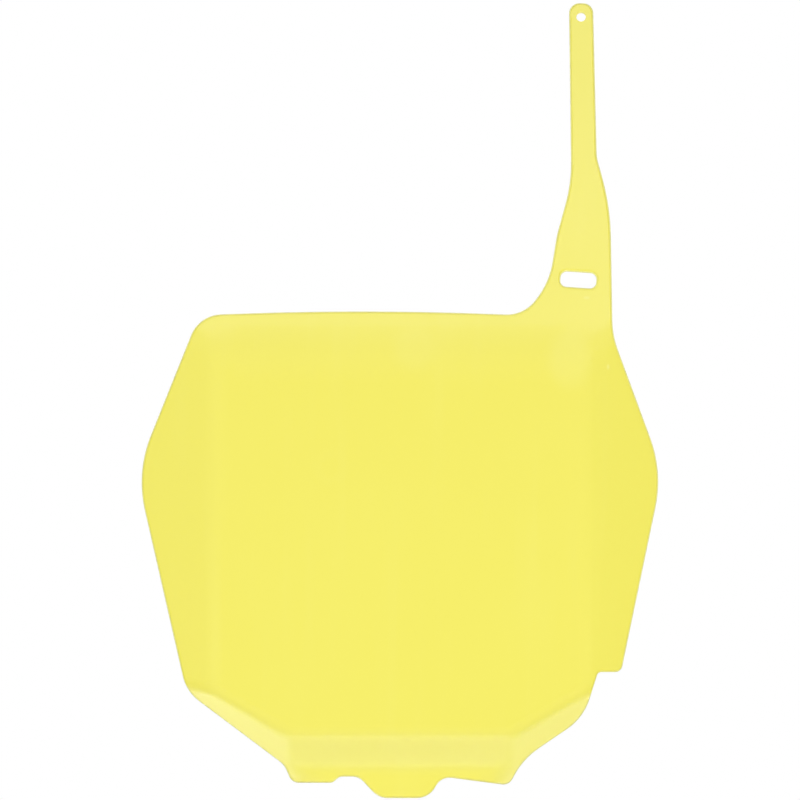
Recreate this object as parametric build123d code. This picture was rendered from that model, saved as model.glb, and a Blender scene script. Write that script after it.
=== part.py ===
from build123d import *
from math import cos, radians, sin, tan
import os

# A front number board for an off-road motorbike: one moulded sheet, in millimetres, upright as it is fixed.
# X runs to the right as seen from the front, Z runs up and the front faces -Y.
# The origin is on the front of the number panel, at the centre line and the waist line, its widest level.

# Sheet
wall = 2.0
rim_radius = 1.2

# Panel outline, seen from the front
plate_width = 240.0
waist_radius = 58.0
left_upper_lean = 21.9
left_lower_lean = 12.9
right_upper_lean = 20.2
right_lower_lean = 11.8
top_height = 72.9
top_arch = 2.9
shoulder_radius = 15.4
hip_drop = 101.9
hip_radius = 24.5

# Clearance notch in the right hip, and the hollow flank below it
notch_drop = 92.9
notch_width = 10.7
notch_inner_radius = 2.0
notch_outer_radius = 3.5
flank_knee_across = 85.3
flank_knee_drop = 114.2
flank_knee_radius = 26.5
flank_hollow_across = 57.4
flank_hollow_drop = 133.2
flank_hollow_radius = 35.0

# Chin tabs, dropping from the level of the notches between them
tab_root_drop = 141.5
left_tab_reach = 50.2
left_tab_width = 18.9
left_tab_drop = 2.9
left_tab_slope_run = 3.3
left_tab_side_run = 3.5
left_tab_side_rise = 8.3
left_tab_side_radius = 10.0
middle_tab_across = 1.8
middle_tab_width = 23.2
middle_tab_drop = 10.0
middle_tab_left_run = 9.4
middle_tab_right_run = 6.0
right_tab_reach = 50.7
right_tab_drop = 4.1
tab_corner_radius = 4.8
tab_step_radius = 3.6
tab_flank_radius = 7.0
tab_end_radius = 9.8

# Handlebar strap, rising from the right of the top edge
strap_length = 145.3
strap_tip_across = 84.3
strap_tip_width = 11.2
strap_tip_radius = 4.7
strap_neck_across = 85.6
strap_neck_width = 11.9
strap_neck_right_height = 73.3
strap_neck_left_height = 61.4
strap_neck_right_radius = 20.0
strap_neck_left_radius = 70.0
strap_collar_across = 85.4
strap_collar_width = 24.9
strap_collar_right_height = 50.8
strap_collar_left_height = 37.3
strap_collar_right_radius = 110.0
strap_collar_left_radius = 47.0
strap_root_right = 98.8
strap_root_radius = 41.0
strap_flare_across = 69.4
strap_flare_height = 15.3
strap_flare_radius = 37.0
strap_foot_across = 57.5
strap_foot_radius = 16.5

# Slot at the strap's root and eye at its tip
slot_across = 82.9
slot_height = 16.7
slot_length = 16.7
slot_width = 7.4
slot_corner_radius = 3.0
slot_tilt = 3.9
eye_diameter = 4.4
eye_below_tip = 6.4

# Folds of the sheet, all given on its front face
wing_fold = 86.0
wing_angle = 9.0
wing_bend_radius = 45.0
lip_fold = 55.8
lip_angle = 12.0
lip_bend_radius = 120.0
bevel_across = 60.0
bevel_drop = 117.0
bevel_slope = 30.0
bevel_angle = 32.0
chin_drop = 121.5
chin_depth = 8.5
chin_angle = 28.0
chin_cove_radius = 15.0
hip_radius = 20.0
fold_radius = 13.0

# Working block that the front and back faces are formed in, larger than the board all round
block_across = plate_width / 2 + 30.0
block_top = top_height + strap_length + 30.0
block_bottom = -(tab_root_drop + middle_tab_drop + 40.0)
block_front = -40.0
block_back = chin_depth + block_top * tan(radians(lip_angle)) + 50.0


def waist_across(upper_lean, lower_lean):
    # Where the straight side edges would meet, so that the rounded waist is half the board's width out
    u = radians(upper_lean)
    v = radians(lower_lean)
    return plate_width / 2 + waist_radius * ((sin(u) + sin(v)) / sin(u + v) - 1)


def outline_corners():
    # Every corner of the outline before rounding, counter-clockwise from the top left: across, up, radius
    left_waist = waist_across(left_upper_lean, left_lower_lean)
    right_waist = waist_across(right_upper_lean, right_lower_lean)
    shoulder = left_waist - top_height * tan(radians(left_upper_lean))
    hip = left_waist - hip_drop * tan(radians(left_lower_lean))
    notch_outer = right_waist - notch_drop * tan(radians(right_lower_lean))
    strap_root = (right_waist - strap_root_right) / tan(radians(right_upper_lean))
    tip = top_height + strap_length
    arch_half = (shoulder + strap_foot_across) / 2
    arch_radius = 0.8 * arch_half**2 / top_arch
    left_tab = -tab_root_drop - left_tab_drop
    left_tab_inner = left_tab_width - left_tab_reach
    middle_tab = -tab_root_drop - middle_tab_drop
    middle_left = middle_tab_across - middle_tab_width / 2
    middle_right = middle_tab_across + middle_tab_width / 2
    return [
        (-shoulder, top_height, shoulder_radius),
        (-left_waist, 0, waist_radius),
        (-hip, -hip_drop, hip_radius),
        (-left_tab_reach - left_tab_side_run, left_tab + left_tab_side_rise, left_tab_side_radius),
        (-left_tab_reach, left_tab, tab_corner_radius),
        (left_tab_inner, left_tab, tab_step_radius),
        (left_tab_inner + left_tab_slope_run, -tab_root_drop, tab_step_radius),
        (middle_left - middle_tab_left_run, -tab_root_drop, tab_flank_radius),
        (middle_left, middle_tab, tab_end_radius),
        (middle_right, middle_tab, tab_end_radius),
        (middle_right + middle_tab_right_run, -tab_root_drop, tab_flank_radius),
        (right_tab_reach, -tab_root_drop - right_tab_drop, tab_corner_radius),
        (flank_hollow_across, -flank_hollow_drop, flank_hollow_radius),
        (flank_knee_across, -flank_knee_drop, flank_knee_radius),
        (notch_outer - notch_width, -notch_drop, notch_inner_radius),
        (notch_outer, -notch_drop, notch_outer_radius),
        (right_waist, 0, waist_radius),
        (strap_root_right, strap_root, strap_root_radius),
        (
            strap_collar_across + strap_collar_width / 2,
            top_height + strap_collar_right_height,
            strap_collar_right_radius,
        ),
        (
            strap_neck_across + strap_neck_width / 2,
            top_height + strap_neck_right_height,
            strap_neck_right_radius,
        ),
        (strap_tip_across + strap_tip_width / 2, tip, strap_tip_radius),
        (strap_tip_across - strap_tip_width / 2, tip, strap_tip_radius),
        (
            strap_neck_across - strap_neck_width / 2,
            top_height + strap_neck_left_height,
            strap_neck_left_radius,
        ),
        (
            strap_collar_across - strap_collar_width / 2,
            top_height + strap_collar_left_height,
            strap_collar_left_radius,
        ),
        (strap_flare_across, top_height + strap_flare_height, strap_flare_radius),
        (strap_foot_across, top_height, strap_foot_radius),
        ((strap_foot_across - shoulder) / 2, top_height + top_arch, arch_radius),
    ]


def rounded_face(corners):
    points = [(across, up) for across, up, radius in corners]
    return make_face(FilletPolyline(*points, radius=[radius for across, up, radius in corners], close=True))


def on_plane(edge, plane):
    return abs(plane.to_local_coords(edge @ 0.5).Z) < 0.01


def wings_and_lip(inset):
    # The flat panel with a wing bent back at each side and the top lip leaning back
    wing = radians(wing_angle)
    lean = radians(lip_angle)
    panel = Plane(origin=(0, 0, 0), z_dir=(0, -1, 0)).offset(-inset)
    lip = Plane(origin=(0, 0, lip_fold), z_dir=(0, -cos(lean), sin(lean))).offset(-inset)
    wings = []
    for hand in (-1, 1):
        face = Plane(origin=(hand * wing_fold, 0, 0), z_dir=(hand * sin(wing), -cos(wing), 0))
        wings.append(face.offset(-inset))
    body = Pos(0, (block_back + block_front) / 2, (block_top + block_bottom) / 2) * Box(
        2 * block_across, block_back - block_front, block_top - block_bottom
    )
    for face in [panel, lip, *wings]:
        body = split(body, face, keep=Keep.BOTTOM)
    bends = []
    for edge in body.edges():
        if (on_plane(edge, panel) or on_plane(edge, lip)) and any(on_plane(edge, face) for face in wings):
            bends.append(edge)
    body = fillet(bends, wing_bend_radius - inset)
    brow = [edge for edge in body.edges() if on_plane(edge, panel) and on_plane(edge, lip)]
    return fillet(brow, lip_bend_radius - inset)


def bevel_plane(hand, inset):
    # Face of the lower wall on the left (-1) or right (1)
    slope = radians(bevel_slope)
    angle = radians(bevel_angle)
    normal = (hand * sin(angle) * sin(slope), -cos(angle), -sin(angle) * cos(slope))
    return Plane(origin=(hand * bevel_across, 0, -bevel_drop), z_dir=normal).offset(-inset)


def chin_pocket(inset):
    # The space in front of the chin: sloping wall above, set-back flange with the tabs below
    angle = radians(chin_angle)
    level = inset / sin(angle) - chin_drop
    floor = chin_depth + inset
    low = block_bottom - 20.0
    section = FilletPolyline(
        (block_front, level - block_front / tan(angle)),
        (floor, level - floor / tan(angle)),
        (floor, low),
        (block_front, low),
        radius=[0, chin_cove_radius + inset, 0, 0],
        close=True,
    )
    return Pos(-block_across - 1, 0, 0) * extrude(
        Plane.YZ * make_face(section), 2 * block_across + 2, dir=(1, 0, 0)
    )


def formed(inset):
    # Everything behind the front face, or behind the back face when inset by the wall
    body = wings_and_lip(inset)
    planes = [bevel_plane(hand, inset) for hand in (-1, 1)]
    for plane in planes:
        body = split(body, plane, keep=Keep.BOTTOM)
    pocket = chin_pocket(inset)
    body = body - pocket
    hips = []
    for edge in body.edges():
        middle = edge @ 0.5
        if middle.Y > block_back - 1 or middle.Z < block_bottom + 1:
            continue
        if any(on_plane(edge, plane) for plane in planes) and pocket.distance_to(middle) < 0.01:
            hips.append(edge)
    body = fillet(hips, hip_radius - inset)
    folds = []
    for edge in body.edges():
        middle = edge @ 0.5
        if abs(middle.X) > block_across - 1 or middle.Y > inset + chin_depth or middle.Z < block_bottom + 1:
            continue
        on_crest = abs(middle.Y - inset) < 0.01 and middle.Z < -bevel_drop
        if on_crest or (any(on_plane(edge, plane) for plane in planes) and pocket.distance_to(middle) > 3):
            folds.append(edge)
    return fillet(folds, fold_radius - inset)


# The sheet between the two formed faces, trimmed to the outline
outline = rounded_face(outline_corners())
blank = Pos(0, block_front, 0) * extrude(Plane.XZ * outline, block_back - block_front - 1, dir=(0, 1, 0))
hollow = formed(wall)
board = (formed(0) - hollow) & blank

# Soft moulded edge all round the front, while the back keeps the square edge of the mould's parting line
border = (Plane.XZ * outline).wire()
rim = []
for edge in board.edges():
    middle = edge @ 0.5
    on_border = border.distance_to(Vector(middle.X, 0, middle.Z)) < 0.01
    if on_border and hollow.distance_to(middle) > 0.9 * wall:
        rim.append(edge)
board = fillet(rim, rim_radius)

# Slot and eye, square to the leaning strap
lean = radians(lip_angle)
strap_front = Plane(origin=(0, 0, lip_fold), x_dir=(1, 0, 0), z_dir=(0, -cos(lean), sin(lean)))
slot_place = Pos(slot_across, (top_height + slot_height - lip_fold) / cos(lean)) * Rot(0, 0, -slot_tilt)
slot = slot_place * RectangleRounded(slot_length, slot_width, slot_corner_radius)
eye_up = (top_height + strap_length - eye_below_tip - lip_fold) / cos(lean)
eye = Pos(strap_tip_across, eye_up) * Circle(eye_diameter / 2)
board = board - extrude(strap_front * slot, 5 * wall, both=True)
board = board - extrude(strap_front * eye, 5 * wall, both=True)

# The same soft edge round the front of the slot
slot_rim = []
for edge in board.edges():
    flat = strap_front.to_local_coords(edge @ 0.5)
    if abs(flat.Z) < 0.01 and slot.wire().distance_to(flat) < 0.01:
        slot_rim.append(edge)
board = fillet(slot_rim, rim_radius)

os.makedirs("parts", exist_ok=True)
export_step(board, "parts/number_board.step")
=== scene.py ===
from math import pi, radians

import bpy
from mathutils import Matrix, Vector


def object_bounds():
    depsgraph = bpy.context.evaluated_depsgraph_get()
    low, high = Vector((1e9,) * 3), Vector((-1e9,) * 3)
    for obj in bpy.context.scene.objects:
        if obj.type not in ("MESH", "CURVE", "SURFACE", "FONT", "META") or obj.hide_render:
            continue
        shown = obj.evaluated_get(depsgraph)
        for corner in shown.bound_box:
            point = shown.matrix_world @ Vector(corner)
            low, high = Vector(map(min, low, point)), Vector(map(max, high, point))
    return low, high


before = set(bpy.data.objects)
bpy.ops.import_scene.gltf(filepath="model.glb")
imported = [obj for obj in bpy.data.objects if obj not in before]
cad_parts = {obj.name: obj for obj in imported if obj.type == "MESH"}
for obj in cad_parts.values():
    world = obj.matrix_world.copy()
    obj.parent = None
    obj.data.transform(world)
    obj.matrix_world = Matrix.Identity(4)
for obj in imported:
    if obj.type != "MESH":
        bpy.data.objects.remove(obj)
cad_low, cad_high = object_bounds()
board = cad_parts["number_board"]

# All lengths are in metres, unless their name says otherwise

# The photograph: a square picture, with the board's highest row, lowest row and middle column in it
IMAGE_PX = 800
BOARD_TOP_PX = 2.3
BOARD_BOTTOM_PX = 798.4
BOARD_MIDDLE_PX = 399.92
# A very long lens, because the photograph shows the board with next to no perspective
LENS_MM = 1500.0
SENSOR_MM = 36.0
VIEW_DEPTH = 100

# Plastic: the lemon yellow, the paler yellow of its flow marks and of the painted sheen under the lip,
# and the palest one of the painted rim highlight and of its specks
YELLOW = (0.880, 0.808, 0.088)
PALE_YELLOW = (0.895, 0.835, 0.140)
RIM_HIGHLIGHT_AND_SPECK_YELLOW = (0.970, 0.935, 0.300)
PLASTIC_IOR = 1.5
ROUGHNESS = (0.29, 0.33)

# Flow marks: marks per metre, detail, the noise values where they start and are full, and their paleness
STREAK_SCALE = 90
STREAK_DETAIL = 3
STREAK_STRETCH = (1, 1, 0.09)
STREAK_LIMITS = (0.50, 0.78)
STREAK_PALENESS = 0.16
CLOUD_SCALE = 14
CLOUD_DETAIL = 2
CLOUD_LIMITS = (0.40, 0.70)
CLOUD_ROUGH_LIMITS = (0.35, 0.70)
CLOUD_PALENESS = 0.12

# Injection point: its place across and up, and the inner edge, crest and outer edge of its pale ring
GATE = (-0.0320, 0.0023)
RING_INNER = 0.003
RING_CREST = 0.006
RING_OUTER = 0.010
RING_PALENESS = 0.10

# Painted sheen under the lip, as paler patches: across and up of the middle, half width, half height and
# strength
PAINTED_SHEEN_PATCHES = (
    (0.0070, 0.0575, 0.0135, 0.0140, 0.38),
    (0.0790, 0.0520, 0.0135, 0.0175, 0.62),
)
# Pale specks near the strap's root, given in the same way
SPECKS = (
    (0.0967, 0.0489, 0.0010, 0.0019, 0.55),
    (0.0868, 0.0810, 0.0022, 0.0011, 0.35),
)
# The share of its reach over which a patch of painted sheen or a speck has its full strength
SHEEN_PATCH_SOLID = 0.4
SPECK_SOLID = 0.2
# The normal's Y, from where a patch of painted sheen or a speck shows in full to where it ends, short of
# the back
FRONT_LIMITS = (-0.5, 0.0)

# Painted highlight on the rim: how much of the normal points to the front or the back, from 0 on the
# side wall to 1 on the panel
STEEP_LIMITS = (0.66, 0.84)
SLOPING_LIMITS = (0.70, 0.965)
SIDE_WALL_LIMITS = (0.05, 0.30)
# The heights between which the painted rim highlight widens, so that the bevels below keep their yellow
ABOVE_BEVELS = (-0.100, -0.085)

# Relief: waves or grains per metre, detail, height and strength
WARP_SCALE = 9
WARP_DETAIL = 1
WARP_HEIGHT = 0.002
WARP_STRENGTH = 0.6
PEEL_SCALE = 620
PEEL_DETAIL = 2
PEEL_HEIGHT = 0.00004
PEEL_STRENGTH = 0.25

# Floor: how far it lies below the board, its size, and the radii from which it thins out and is gone
FLOOR_DROP = 0.02
FLOOR_RADIUS = 1.5
FLOOR_SIDES = 96
FADE_START = 0.25
FADE_END = 0.95 * FLOOR_RADIUS
FLOOR_PALE = (0.86, 0.86, 0.86)

# Fill light in radiance, where 1 is white, and the directions between which it changes
WHITE = (1, 1, 1)
FILL_FRONT = 0.10
FILL_SIDES = 2.2
FILL_BEHIND = 0.58
FRONT_TO_SIDES = (0.05, 0.35)
SIDES_TO_BEHIND = (0.40, 0.85)
FILL_BELOW = 0.45
FILL_ABOVE = 1.2
BELOW_TO_ABOVE = (-0.9, 0.7)


def add_node(tree, kind, **settings):
    node = tree.nodes.new(kind)
    for key, value in settings.items():
        setattr(node, key, value)
    return node


def new_material(name):
    material = bpy.data.materials.new(name)
    material.use_nodes = True
    material.node_tree.nodes.clear()
    return material, material.node_tree


def noise(tree, place, scale, detail, stretch=(1, 1, 1)):
    # Soft random marks, stretched along an axis where its factor is below 1
    mapping = add_node(tree, "ShaderNodeMapping")
    mapping.inputs["Scale"].default_value = stretch
    tree.links.new(place, mapping.inputs["Vector"])
    texture = add_node(tree, "ShaderNodeTexNoise")
    texture.inputs["Scale"].default_value = scale
    texture.inputs["Detail"].default_value = detail
    tree.links.new(mapping.outputs["Vector"], texture.inputs["Vector"])
    return texture.outputs["Fac"]


def remap(tree, value, limits, results):
    # Goes smoothly from the first result at the first limit to the second at the second, and no further
    node = add_node(tree, "ShaderNodeMapRange", interpolation_type="SMOOTHSTEP")
    node.inputs["From Min"].default_value = limits[0]
    node.inputs["From Max"].default_value = limits[1]
    node.inputs["To Min"].default_value = results[0]
    node.inputs["To Max"].default_value = results[1]
    tree.links.new(value, node.inputs["Value"])
    return node.outputs["Result"]


def combine(tree, operation, first, second):
    node = add_node(tree, "ShaderNodeMath", operation=operation)
    tree.links.new(first, node.inputs[0])
    tree.links.new(second, node.inputs[1])
    return node.outputs[0]


def add_up(tree, layers):
    total = layers[0]
    for layer in layers[1:]:
        total = combine(tree, "ADD", total, layer)
    return total


def split(tree, vector):
    node = add_node(tree, "ShaderNodeSeparateXYZ")
    tree.links.new(vector, node.inputs["Vector"])
    return node.outputs


def mix_towards(tree, colour, factor):
    # The colour under it is the node's input A
    node = add_node(tree, "ShaderNodeMix", data_type="RGBA")
    node.inputs["B"].default_value = (*colour, 1)
    tree.links.new(factor, node.inputs["Factor"])
    return node


def mix_shaders(tree, factor, first, second):
    node = add_node(tree, "ShaderNodeMixShader")
    tree.links.new(factor, node.inputs["Fac"])
    tree.links.new(first, node.inputs[1])
    tree.links.new(second, node.inputs[2])
    return node.outputs["Shader"]


def distance_from(tree, place, middle, reach=(1, 1)):
    # Distance in the plane of the panel, as a share of the reach across and up
    offset = add_node(tree, "ShaderNodeVectorMath", operation="SUBTRACT")
    offset.inputs[1].default_value = (middle[0], 0, middle[1])
    tree.links.new(place, offset.inputs[0])
    flat = add_node(tree, "ShaderNodeVectorMath", operation="MULTIPLY")
    flat.inputs[1].default_value = (1 / reach[0], 0, 1 / reach[1])
    tree.links.new(offset.outputs["Vector"], flat.inputs[0])
    length = add_node(tree, "ShaderNodeVectorMath", operation="LENGTH")
    tree.links.new(flat.outputs["Vector"], length.inputs[0])
    return length.outputs["Value"]


def bump(tree, height, distance, strength, under=None):
    node = add_node(tree, "ShaderNodeBump")
    node.inputs["Distance"].default_value = distance
    node.inputs["Strength"].default_value = strength
    tree.links.new(height, node.inputs["Height"])
    if under:
        tree.links.new(under, node.inputs["Normal"])
    return node.outputs["Normal"]


def gate_ring(tree, place):
    # Faint pale ring round the injection point
    distance = distance_from(tree, place, GATE)
    rise = remap(tree, distance, (RING_INNER, RING_CREST), (0.0, RING_PALENESS))
    fall = remap(tree, distance, (RING_CREST, RING_OUTER), (1.0, 0.0))
    return combine(tree, "MULTIPLY", rise, fall)


def patches(tree, place, front, rows, solid_share):
    # Soft spots on the front face only
    spots = []
    for across, up, half_width, half_height, strength in rows:
        distance = distance_from(tree, place, (across, up), (half_width, half_height))
        spots.append(remap(tree, distance, (solid_share, 1.0), (strength, 0.0)))
    return combine(tree, "MULTIPLY", add_up(tree, spots), front)


def flow_marks_and_painted_sheen(tree, place, front, clouds):
    # Vertical streaks, clouds, the ring at the injection point and the painted sheen patches under the
    # lip, as one paleness
    streaks = noise(tree, place, STREAK_SCALE, STREAK_DETAIL, STREAK_STRETCH)
    layers = (
        remap(tree, streaks, STREAK_LIMITS, (0.0, STREAK_PALENESS)),
        remap(tree, clouds, CLOUD_LIMITS, (0.0, CLOUD_PALENESS)),
        gate_ring(tree, place),
        # Painted sheen under the lip
        patches(tree, place, front, PAINTED_SHEEN_PATCHES, SHEEN_PATCH_SOLID),
    )
    return add_up(tree, layers)


def painted_rim_highlight(tree, place, turned):
    # Painted highlight on the rounded rim, without the flat side wall
    absolute = add_node(tree, "ShaderNodeMath", operation="ABSOLUTE")
    tree.links.new(turned, absolute.inputs[0])
    facing = absolute.outputs[0]
    above_bevels = remap(tree, split(tree, place)["Z"], ABOVE_BEVELS, (0.0, 1.0))
    steep = remap(tree, facing, STEEP_LIMITS, (1.0, 0.0))
    sloping = combine(tree, "MULTIPLY", remap(tree, facing, SLOPING_LIMITS, (1.0, 0.0)), above_bevels)
    off_side_wall = remap(tree, facing, SIDE_WALL_LIMITS, (0.0, 1.0))
    return combine(tree, "MULTIPLY", combine(tree, "MAXIMUM", steep, sloping), off_side_wall)


def plastic_colour(tree, coordinates, clouds):
    place = coordinates["Object"]
    turned = split(tree, coordinates["Normal"])["Y"]
    front = remap(tree, turned, FRONT_LIMITS, (1.0, 0.0))
    # Flow marks, with the painted sheen under the lip mixed in
    marked = mix_towards(tree, PALE_YELLOW, flow_marks_and_painted_sheen(tree, place, front, clouds))
    marked.inputs["A"].default_value = (*YELLOW, 1)
    specks = patches(tree, place, front, SPECKS, SPECK_SOLID)
    # Painted highlight on the rounded rim, together with the pale specks
    rim_highlight_and_specks = combine(tree, "MAXIMUM", painted_rim_highlight(tree, place, turned), specks)
    edged = mix_towards(tree, RIM_HIGHLIGHT_AND_SPECK_YELLOW, rim_highlight_and_specks)
    tree.links.new(marked.outputs["Result"], edged.inputs["A"])
    return edged.outputs["Result"]


def plastic_relief(tree, place):
    # Slight warp of the sheet, with orange peel on it
    waves = noise(tree, place, WARP_SCALE, WARP_DETAIL)
    grains = noise(tree, place, PEEL_SCALE, PEEL_DETAIL)
    warp = bump(tree, waves, WARP_HEIGHT, WARP_STRENGTH)
    return bump(tree, grains, PEEL_HEIGHT, PEEL_STRENGTH, under=warp)


def plastic_material():
    # Smooth moulded plastic
    material, tree = new_material("yellow_plastic")
    output = add_node(tree, "ShaderNodeOutputMaterial")
    shader = add_node(tree, "ShaderNodeBsdfPrincipled")
    shader.inputs["IOR"].default_value = PLASTIC_IOR
    coordinates = add_node(tree, "ShaderNodeTexCoord").outputs
    clouds = noise(tree, coordinates["Object"], CLOUD_SCALE, CLOUD_DETAIL)
    roughness = remap(tree, clouds, CLOUD_ROUGH_LIMITS, ROUGHNESS)
    tree.links.new(plastic_colour(tree, coordinates, clouds), shader.inputs["Base Color"])
    tree.links.new(roughness, shader.inputs["Roughness"])
    tree.links.new(plastic_relief(tree, coordinates["Object"]), shader.inputs["Normal"])
    tree.links.new(shader.outputs["BSDF"], output.inputs["Surface"])
    return material


def floor_material():
    # Pale floor that keeps the shadow and thins out to the white of the background
    material, tree = new_material("pale_floor")
    output = add_node(tree, "ShaderNodeOutputMaterial")
    paint = add_node(tree, "ShaderNodeBsdfDiffuse")
    paint.inputs["Color"].default_value = (*FLOOR_PALE, 1)
    clear = add_node(tree, "ShaderNodeBsdfTransparent")
    distance = add_node(tree, "ShaderNodeVectorMath", operation="LENGTH")
    tree.links.new(add_node(tree, "ShaderNodeTexCoord").outputs["Object"], distance.inputs[0])
    fade = remap(tree, distance.outputs["Value"], (FADE_START, FADE_END), (0.0, 1.0))
    faded = mix_shaders(tree, fade, paint.outputs["BSDF"], clear.outputs["BSDF"])
    tree.links.new(faded, output.inputs["Surface"])
    return material


def build_floor():
    # Seen by the camera only, so that light from below still reaches the board
    bpy.ops.mesh.primitive_circle_add(
        vertices=FLOOR_SIDES,
        radius=FLOOR_RADIUS,
        fill_type="NGON",
        location=(0, 0, cad_low.z - FLOOR_DROP),
    )
    floor = bpy.context.object
    floor.name = "floor"
    floor.data.materials.append(floor_material())
    floor.visible_diffuse = False
    floor.visible_glossy = False
    floor.visible_shadow = False


def white_background(tree):
    node = add_node(tree, "ShaderNodeBackground")
    node.inputs["Color"].default_value = (*WHITE, 1)
    return node


def build_world():
    # Soft fill that is strongest from the sides, and plain white to the camera and in reflections
    world = bpy.data.worlds.new("studio")
    world.use_nodes = True
    tree = world.node_tree
    tree.nodes.clear()
    output = add_node(tree, "ShaderNodeOutputWorld")
    direction = split(tree, add_node(tree, "ShaderNodeTexCoord").outputs["Generated"])
    rise = remap(tree, direction["Y"], FRONT_TO_SIDES, (FILL_FRONT, FILL_SIDES))
    fall = remap(tree, direction["Y"], SIDES_TO_BEHIND, (1.0, FILL_BEHIND / FILL_SIDES))
    around = combine(tree, "MULTIPLY", rise, fall)
    above = remap(tree, direction["Z"], BELOW_TO_ABOVE, (FILL_BELOW, FILL_ABOVE))
    fill = white_background(tree)
    tree.links.new(combine(tree, "MULTIPLY", around, above), fill.inputs["Strength"])
    path = add_node(tree, "ShaderNodeLightPath").outputs
    seen = combine(tree, "MAXIMUM", path["Is Camera Ray"], path["Is Glossy Ray"])
    seen = combine(tree, "MAXIMUM", seen, path["Is Transmission Ray"])
    plain = white_background(tree)
    light = mix_shaders(tree, seen, fill.outputs["Background"], plain.outputs["Background"])
    tree.links.new(light, output.inputs["Surface"])
    bpy.context.scene.world = world


def softbox(name, place, aim, size, radiance, card=True):
    # A card is seen in reflections only, and a lamp gives the plain light without a bright spot in them
    width, height = size
    lamp = bpy.data.lights.new(name, "AREA")
    lamp.shape = "RECTANGLE"
    lamp.size = width
    lamp.size_y = height
    lamp.energy = radiance * width * height * pi
    lamp.cycles.use_multiple_importance_sampling = not card
    box = bpy.data.objects.new(name, lamp)
    box.location = place
    box.rotation_mode = "QUATERNION"
    box.rotation_quaternion = (Vector(aim) - Vector(place)).to_track_quat("-Z", "Y")
    box.visible_camera = False
    box.visible_diffuse = not card
    box.visible_glossy = card
    bpy.context.scene.collection.objects.link(box)


def build_lights():
    # A broad soft lamp in front, with cards beside and above it for the sheen of the panel and wings
    panel = (0, 0, 0)
    softbox("front", (0.08, -2.19, -0.22), panel, size=(1.3, 1.1), radiance=10.4, card=False)
    softbox("front_left", (-0.70, -2.1, 0.0), panel, size=(0.8, 1.1), radiance=1.5)
    softbox("front_right", (0.65, -2.1, 0.0), panel, size=(0.6, 1.1), radiance=0.9)
    softbox("front_high", (0.04, -2.1, 0.42), (0, 0, 0.05), size=(1.2, 0.28), radiance=2.2)
    softbox("front_low", (-0.1, -1.6, -0.92), (0, 0, -0.1), size=(1.6, 0.9), radiance=1.4)
    # A card overhead for the lip and strap, and three below for the bevels and chin
    chin = (0, 0, -0.13)
    softbox("overhead", (0.0, -1.65, 1.02), (0, 0, 0.08), size=(1.4, 0.55), radiance=5.1)
    softbox("low_left", (-0.54, -0.50, -1.0), chin, size=(0.5, 0.5), radiance=7.1)
    softbox("low_middle", (0.0, -0.72, -1.0), chin, size=(0.5, 0.5), radiance=3.9)
    softbox("low_right", (0.54, -0.50, -1.0), chin, size=(0.5, 0.5), radiance=4.9)


def build_camera():
    # Straight in front, where the board fills the same rows and columns as in the photograph
    scale = (cad_high.z - cad_low.z) / (BOARD_BOTTOM_PX - BOARD_TOP_PX)
    data = bpy.data.cameras.new("camera")
    data.lens = LENS_MM
    data.sensor_width = SENSOR_MM
    data.clip_end = VIEW_DEPTH
    camera = bpy.data.objects.new("camera", data)
    camera.location = (
        (IMAGE_PX / 2 - BOARD_MIDDLE_PX) * scale,
        -IMAGE_PX * scale * LENS_MM / SENSOR_MM,
        cad_high.z + (BOARD_TOP_PX - IMAGE_PX / 2) * scale,
    )
    camera.rotation_euler = (radians(90), 0, 0)
    bpy.context.scene.collection.objects.link(camera)
    bpy.context.scene.camera = camera


board.data.materials.clear()
board.data.materials.append(plastic_material())
build_floor()
build_world()
build_lights()
build_camera()
bpy.context.scene.view_settings.view_transform = "Standard"
